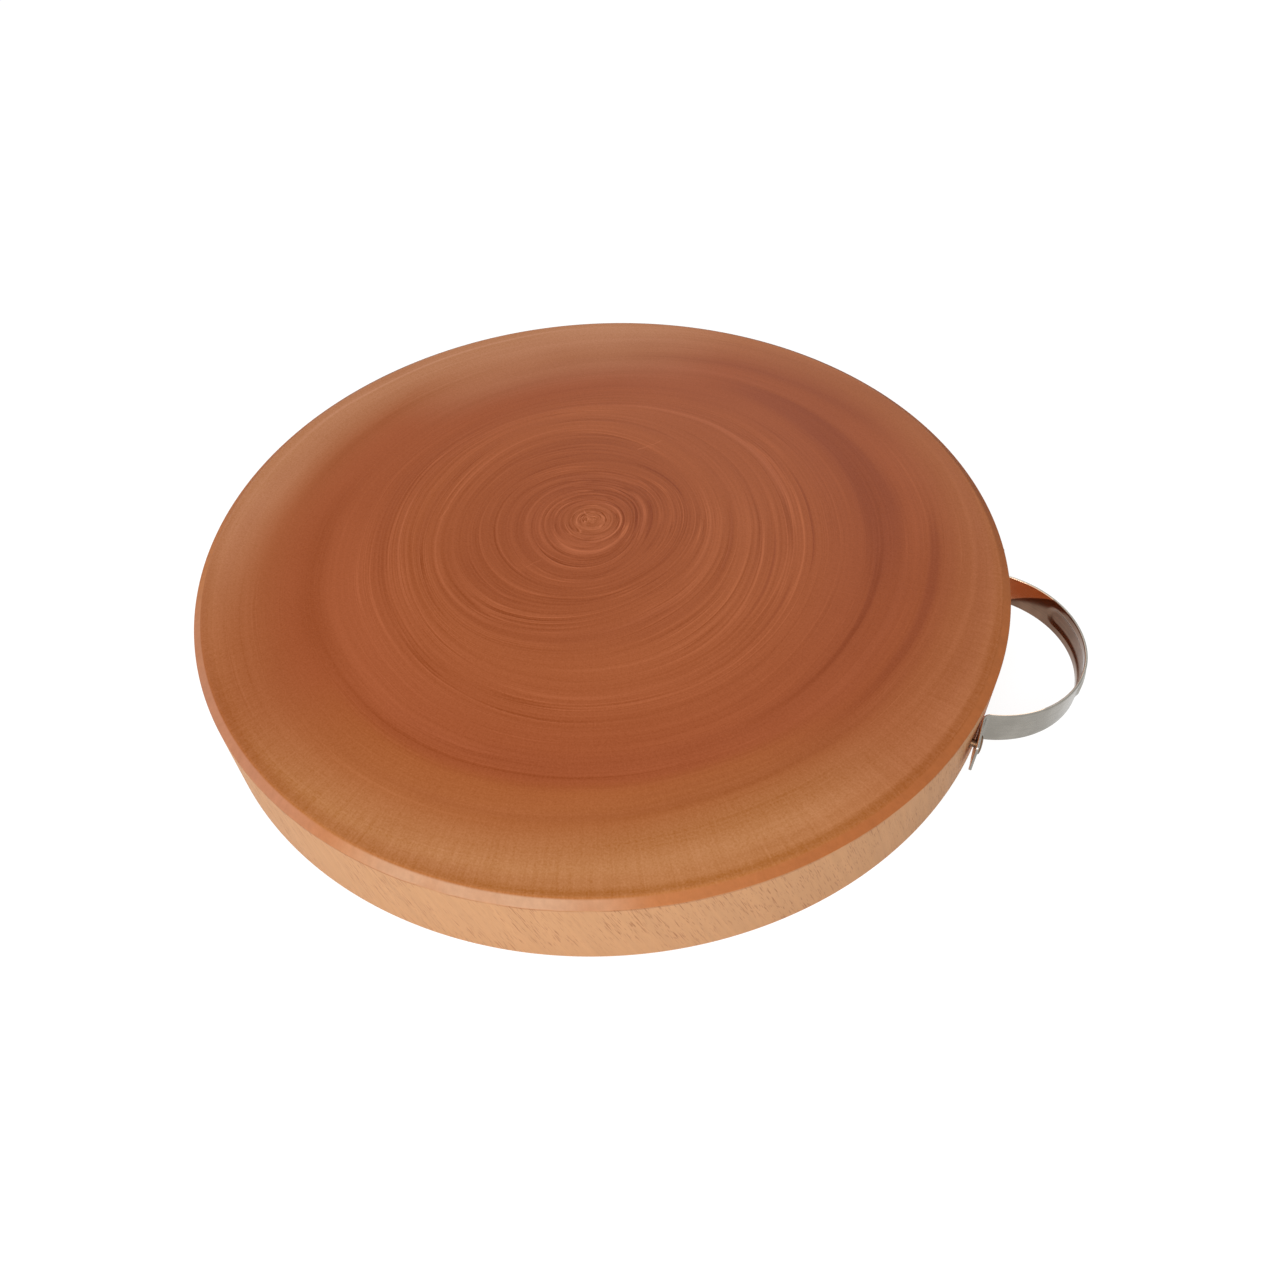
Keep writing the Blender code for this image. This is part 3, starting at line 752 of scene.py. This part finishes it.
def screwPlaces(spot, footTurn):  # a point under each screw's head, with the turn that brings +Z outwards
    points, turns = [], []
    for side in (-1, 1):
        out = wayTo(side * footTurn)
        sideways = Vector((0, 0, 1)).cross(out)
        turn = Matrix((sideways, out.cross(sideways), out)).transposed()
        points.append((spot.x, side * spot.y, middleHeight))
        turns.append(tuple(turn.to_euler()))
    return lineObject("screwPlaces", points, turn=turns)


def holeValues(ends):  # for the trees whose pieces the screws go through
    return {"screwPlaces": places, "holeRadius": strapChoices["holeRadius"], "holeTop": ends[0],
            "holeBottom": ends[1], "holeSides": strapChoices["holeSides"]}


halfLine, screwSpot, footTurn = handleLine(strapChoices)
places = screwPlaces(screwSpot, footTurn)


# Geometry Nodes

poleGap = 1e-6      # an outline's turned points this near each other become one
weldGap = 1e-7      # the same in the finished mesh


def newTree(name, values):  # a socket of the right kind for each value
    tree = bpy.data.node_groups.new(name, "GeometryNodeTree")
    tree.is_modifier = True
    tree.interface.new_socket("Geometry", in_out="INPUT", socket_type="NodeSocketGeometry")
    for label, value in values.items():
        kind = type(value).__name__.capitalize()
        tree.interface.new_socket(label, in_out="INPUT", socket_type="NodeSocket" + kind)
    tree.interface.new_socket("Geometry", in_out="OUTPUT", socket_type="NodeSocketGeometry")
    return tree, addNode(tree, "NodeGroupInput").outputs


def namedValue(tree, name, kind="FLOAT"):
    return addNode(tree, "GeometryNodeInputNamedAttribute", {"Name": name}, data_type=kind).outputs["Attribute"]


def keepPlace(tree, geometry):  # the points' own places, kept through what follows
    node = addNode(tree, "GeometryNodeCaptureAttribute", {0: geometry})
    node.capture_items.new("VECTOR", "kept")
    feed(tree, node.inputs[1], nodeOut(tree, "GeometryNodeInputPosition"))
    return node.outputs[0], node.outputs[1]


def asCurve(tree, geometry):
    return nodeOut(tree, "GeometryNodeMeshToCurve", {0: geometry})


def atPlaces(tree, spots, shape):  # the shape at every screw's place
    info = addNode(tree, "GeometryNodeObjectInfo", {"Object": spots})
    turn = nodeOut(tree, "FunctionNodeEulerToRotation", {0: namedValue(tree, "turn", "FLOAT_VECTOR")})
    put = nodeOut(tree, "GeometryNodeInstanceOnPoints",
                  {"Points": info.outputs["Geometry"], "Instance": shape, "Rotation": turn})
    return nodeOut(tree, "GeometryNodeRealizeInstances", {0: put})


def cutAway(tree, body, *cutters):
    node = addNode(tree, "GeometryNodeMeshBoolean", operation="DIFFERENCE", solver="EXACT")
    tree.links.new(body, node.inputs[0])
    for cutter in cutters:
        tree.links.new(cutter, node.inputs[1])
    return node.outputs[0]


def drill(tree, inputs, body):  # a straight hole along each screw's axis
    depth = minus(tree, inputs["holeTop"], inputs["holeBottom"])
    middle = times(tree, plus(tree, inputs["holeTop"], inputs["holeBottom"]), 0.5)
    rod = nodeOut(tree, "GeometryNodeMeshCylinder",
                  {"Vertices": inputs["holeSides"], "Radius": inputs["holeRadius"], "Depth": depth})
    rod = nodeOut(tree, "GeometryNodeTransform", {"Geometry": rod, "Translation": combine(tree, 0.0, 0.0, middle)})
    return cutAway(tree, body, atPlaces(tree, inputs["screwPlaces"], rod))


def finishTree(tree, geometry, material, *others):  # the others are pairs of a selection and its material
    dressed = nodeOut(tree, "GeometryNodeRealizeInstances", {0: geometry})
    for where, one in ((True, material), *others):
        dressed = nodeOut(tree, "GeometryNodeSetMaterial", {"Geometry": dressed, "Selection": where, "Material": one})
    addNode(tree, "NodeGroupOutput", {0: dressed})
    return tree


def turnOutline(tree, inputs, radiusOf=None):  # the outline (x is radius, z is height) turned round the Z axis
    outline, spot = keepPlace(tree, asCurve(tree, inputs["Geometry"]))
    circle = nodeOut(tree, "GeometryNodeCurvePrimitiveCircle", {"Resolution": inputs["sides"], "Radius": 1.0})
    circle, way = keepPlace(tree, circle)
    swept = nodeOut(tree, "GeometryNodeCurveToMesh", {"Curve": circle, "Profile Curve": outline})
    radius, unused, height = separate(tree, spot)
    x, y, unused = separate(tree, way)
    if radiusOf:
        radius = radiusOf(radius, height, x, y)
    place = combine(tree, times(tree, x, radius), times(tree, y, radius), height)
    shaped = nodeOut(tree, "GeometryNodeSetPosition", {"Geometry": swept, "Position": place})
    return nodeOut(tree, "GeometryNodeMergeByDistance", {"Geometry": shaped, "Distance": poleGap})


def boardTree(values):
    tree, inputs = newTree("turnedBoard", values)
    body = drill(tree, inputs, turnOutline(tree, inputs))
    z = separate(tree, nodeOut(tree, "GeometryNodeInputPosition"))[2]
    sloping = times(tree, calc(tree, "GREATER_THAN", z, inputs["stainLine"]), calc(tree, "LESS_THAN", z, inputs["top"]))
    return finishTree(tree, body, inputs["finish"], (sloping, inputs["bevelFinish"]))


def strapTree(values):
    tree, inputs = newTree("bentStrap", values)
    line, spot = keepPlace(tree, asCurve(tree, inputs["Geometry"]))
    info = addNode(tree, "GeometryNodeObjectInfo", {"Object": inputs["section"]})
    section, part = keepPlace(tree, asCurve(tree, info.outputs["Geometry"]))
    swept = nodeOut(tree, "GeometryNodeCurveToMesh", {"Curve": line, "Profile Curve": section, "Fill Caps": True})
    across, through, unused = separate(tree, part)
    across = times(tree, across, namedValue(tree, "halfWidth"))
    through = times(tree, through, inputs["halfThickness"], namedValue(tree, "plump"))
    past = minus(tree, calc(tree, "ABSOLUTE", namedValue(tree, "fromBead")), inputs["beadStraight"])
    fromSpine = vectorCalc(tree, "LENGTH", combine(tree, calc(tree, "MAXIMUM", past, 0.0), across))
    inside = minus(tree, inputs["beadHalfWidth"], fromSpine)
    share = calc(tree, "DIVIDE", inside, inputs["beadRim"], clamp=True)
    wave = minus(tree, 1.0, calc(tree, "COSINE", times(tree, share, math.pi)))
    pressed = times(tree, wave, 0.5, inputs["beadDepth"])
    out = scaled(tree, namedValue(tree, "sectionOut", "FLOAT_VECTOR"), plus(tree, through, pressed))
    lift = combine(tree, 0.0, 0.0, plus(tree, inputs["height"], across))
    place = vectorCalc(tree, "ADD", vectorCalc(tree, "ADD", spot, out), lift)
    shaped = nodeOut(tree, "GeometryNodeSetPosition", {"Geometry": swept, "Position": place})
    body = drill(tree, inputs, shaped)
    x, y, unused = separate(tree, nodeOut(tree, "GeometryNodeInputPosition"))
    facing = vectorCalc(tree, "DOT_PRODUCT", nodeOut(tree, "GeometryNodeInputNormal"), combine(tree, x, y))
    inner = calc(tree, "LESS_THAN", facing, inputs["insideFrom"])
    return finishTree(tree, body, inputs["finish"], (inner, inputs["insideFinish"]))


def screwTree(values):
    tree, inputs = newTree("woodScrews", values)

    def threaded(radius, height, x, y):
        depth = times(tree, height, -1.0)
        turns = times(tree, calc(tree, "DIVIDE", depth, inputs["pitch"]), 2 * math.pi)
        turn = minus(tree, turns, calc(tree, "ARCTAN2", y, x))
        ridge = calc(tree, "POWER", times(tree, plus(tree, calc(tree, "COSINE", turn), 1.0), 0.5), inputs["crestPower"])
        runIn = calc(tree, "DIVIDE", minus(tree, depth, inputs["neckLength"]), inputs["pitch"], clamp=True)
        taper = calc(tree, "DIVIDE", minus(tree, inputs["length"], depth), inputs["tipLength"], clamp=True)
        return plus(tree, radius, times(tree, ridge, runIn, taper, inputs["threadRise"]))

    body = turnOutline(tree, inputs, threaded)
    size = combine(tree, inputs["crossSpan"], inputs["crossWidth"], times(tree, inputs["crossDepth"], 2.0))
    slot = nodeOut(tree, "GeometryNodeMeshCube", {"Size": size})
    slots = [nodeOut(tree, "GeometryNodeTransform", {"Geometry": slot, "Rotation": (0.0, 0.0, turn),
                                                     "Translation": combine(tree, 0.0, 0.0, inputs["headHeight"])})
             for turn in (0.0, math.pi / 2)]
    screw = cutAway(tree, body, *slots)
    return finishTree(tree, atPlaces(tree, inputs["screwPlaces"], screw), inputs["finish"])


def grow(source, makeTree, name, values, replaced, sharpAngle=math.radians(32)):
    modifier = source.modifiers.new(name, "NODES")
    modifier.node_group = makeTree(values)
    for item in modifier.node_group.interface.items_tree:
        if item.in_out == "INPUT" and item.name in values:
            modifier[item.identifier] = values[item.name]
    source.update_tag()
    bpy.context.view_layer.update()
    evaluated = source.evaluated_get(bpy.context.evaluated_depsgraph_get())
    mesh = bpy.data.meshes.new_from_object(evaluated)
    source.modifiers.clear()
    shape = bmesh.new()
    shape.from_mesh(mesh)
    bmesh.ops.remove_doubles(shape, verts=shape.verts, dist=weldGap)
    bmesh.ops.recalc_face_normals(shape, faces=shape.faces)
    loose = sum(not edge.is_manifold for edge in shape.edges)
    shape.to_mesh(mesh)
    shape.free()
    mesh.shade_smooth()
    mesh.set_sharp_from_angle(angle=sharpAngle)
    mesh.name = name
    piece = newObject(name, mesh)
    bpy.data.objects.remove(source)
    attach(piece, "root")
    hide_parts(*replaced)
    print(name, "made:", len(mesh.polygons), "faces,", loose, "open edges")


# the board: its outline is turned, with every edge eased

boardChoices = {
    "sides": 384,
    "chamferWidth": 0.0041,
    "chamferHeight": 0.0025,
    "undersideChamfer": 0.0016,
    "eases": (0.0012, 0.0006, 0.0004, 0.0004),      # top edge, stain line, and the two below
    "easeSteps": 6,
    "rowLength": 0.015,
    "nearEdge": 0.0005,
    "bore": (0.004, -0.026),                        # its cutter's ends, from under the screw's head
    "topSkin": 0.0001,                              # faces within this of the top aren't the chamfer's
}


def easedOutline(corners, eases, steps, rowLength, nearEdge):  # rounds the inner corners and adds rows between
    points = [corners[0]]
    for before, corner, after, ease in zip(corners, corners[1:], corners[2:], eases):
        back, on = (before - corner).normalized(), (after - corner).normalized()
        bend = math.pi - back.angle(on)
        reach = ease * math.tan(bend / 2)
        middle = corner + (back + on).normalized() * ease / math.cos(bend / 2)
        first = (corner + back * reach - middle).normalized()
        last = (corner + on * reach - middle).normalized()
        points += [middle + ease * first.slerp(last, k / steps) for k in range(steps + 1)]
    points.append(corners[-1])
    rows = [points[0]]
    for one, other in zip(points, points[1:]):
        length = (other - one).length
        if length > 4 * nearEdge:
            count = max(round((length - 2 * nearEdge) / rowLength), 1)
            shares = [(nearEdge + (length - 2 * nearEdge) * k / count) / length for k in range(count + 1)]
            rows += [one.lerp(other, share) for share in shares]
        rows.append(other)
    return rows


def makeBoard(c):
    radius, top = boardHigh[0], boardHigh[2]
    corners = [Vector(p) for p in ((0, top), (radius - c["chamferWidth"], top), (radius, top - c["chamferHeight"]),
                                   (radius, c["undersideChamfer"]), (radius - c["undersideChamfer"], 0), (0, 0))]
    rows = easedOutline(corners, c["eases"], c["easeSteps"], c["rowLength"], c["nearEdge"])
    outline = lineObject("boardOutline", [(x, 0, z) for x, z in rows])
    values = {"sides": c["sides"], **holeValues(c["bore"]), "stainLine": woodChoices["stainLine"],
              "top": top - c["topSkin"], "finish": wood, "bevelFinish": bevelWood}
    grow(outline, boardTree, "boardSlice", values, ["board"])


makeBoard(boardChoices)


# the strap: a flat section with eased edges follows the handle's line

def strapSection(c):  # across from -1 to 1 and through from -1 to 1
    wide, thick = (strapHigh[2] - strapLow[2]) / 2, c["thickness"] / 2
    easeAcross, easeThrough = c["edgeRadius"] / wide, c["edgeRadius"] / thick
    points = []
    for cornerAcross, cornerThrough, start in ((1, 1, 90), (1, -1, 0), (-1, -1, -90), (-1, 1, -180)):
        for k in range(c["edgeSteps"] + 1):
            angle = math.radians(start - 90 * k / c["edgeSteps"])
            points.append((cornerAcross * (1 - easeAcross) + easeAcross * math.cos(angle),
                           cornerThrough * (1 - easeThrough) + easeThrough * math.sin(angle), 0))
        if cornerAcross == cornerThrough:
            continue
        last = points[-1][0]
        points += [(last * (1 - 2 * k / c["rowsAcross"]), points[-1][1], 0) for k in range(1, c["rowsAcross"])]
    return lineObject("strapSection", points, closed=True)


def makeStrap(c):
    stations = [(Vector((p.x, -p.y)), -angle, width, -along, thin)
                for p, angle, width, along, thin in reversed(halfLine)] + halfLine[1:]
    beadPlace = c["beadTurn"] * (c["bowRadius"] - c["thickness"] / 2)
    spots, angles, widths, lengths, shares = zip(*stations)
    line = lineObject("strapLine", [(p.x, p.y, 0) for p in spots], halfWidth=widths, plump=shares,
                      sectionOut=[wayTo(angle) for angle in angles],
                      fromBead=[along - beadPlace for along in lengths])
    section = strapSection(c)
    values = {"section": section, "height": middleHeight, "halfThickness": c["thickness"] / 2,
              "beadStraight": (c["beadLength"] - c["beadWidth"]) / 2, "beadHalfWidth": c["beadWidth"] / 2,
              "beadRim": c["beadRim"], "beadDepth": c["beadDepth"], **holeValues(c["holeCut"]),
              "insideFrom": c["insideFrom"], "finish": steel, "insideFinish": paintedReflectionSteel}
    grow(line, strapTree, "strapHandle", values, ["handle_strap"])
    bpy.data.objects.remove(section)


makeStrap(strapChoices)


# the screws: a low round head and a threaded shank, one through each foot

screwChoices = {
    "sides": 40,
    "headRadius": 0.0040,
    "headHeight": 0.0011,
    "headSteps": 12,
    "headRoundness": 2.6,
    "length": 0.025,
    "neckLength": 0.003,
    "neckRadius": 0.0016,
    "rootRadius": 0.0014,
    "crestRadius": 0.0020,
    "pitch": 0.0020,
    "crestPower": 2.0,              # how narrow the thread's crest is
    "rowsPerPitch": 10,
    "tipLength": 0.005,
    "crossSpan": 0.0042,
    "crossWidth": 0.0009,
    "crossDepth": 0.0007,
}


def makeScrews(c):
    power = 2 / c["headRoundness"]
    rows = [(0.0, c["headHeight"])]
    for k in range(1, c["headSteps"] + 1):
        angle = math.pi / 2 * k / c["headSteps"]
        height = c["headHeight"] * max(math.cos(angle), 0) ** power if k < c["headSteps"] else 0.0
        rows.append((c["headRadius"] * math.sin(angle) ** power, height))
    neck, neckRadius, length = c["neckLength"], c["neckRadius"], c["length"]
    rows += [(neckRadius, 0.0), (neckRadius, -neck)]
    count = round((length - neck) / c["pitch"] * c["rowsPerPitch"])
    for k in range(1, count):
        depth = neck + (length - neck) * k / count
        runIn = min((depth - neck) / c["pitch"], 1)
        taper = min((length - depth) / c["tipLength"], 1)
        rows.append((taper * (neckRadius + (c["rootRadius"] - neckRadius) * runIn), -depth))
    rows.append((0.0, -length))
    outline = lineObject("screwOutline", [(x, 0, z) for x, z in rows])
    values = {"sides": c["sides"], "threadRise": c["crestRadius"] - c["rootRadius"],
              "screwPlaces": places, "finish": plate}
    for key in ("pitch", "crestPower", "neckLength", "length", "tipLength", "headHeight", "crossSpan", "crossWidth",
                "crossDepth"):
        values[key] = c[key]
    grow(outline, screwTree, "footScrews", values, ["handle_screw_left", "handle_screw_right"])


makeScrews(screwChoices)
bpy.data.objects.remove(places)
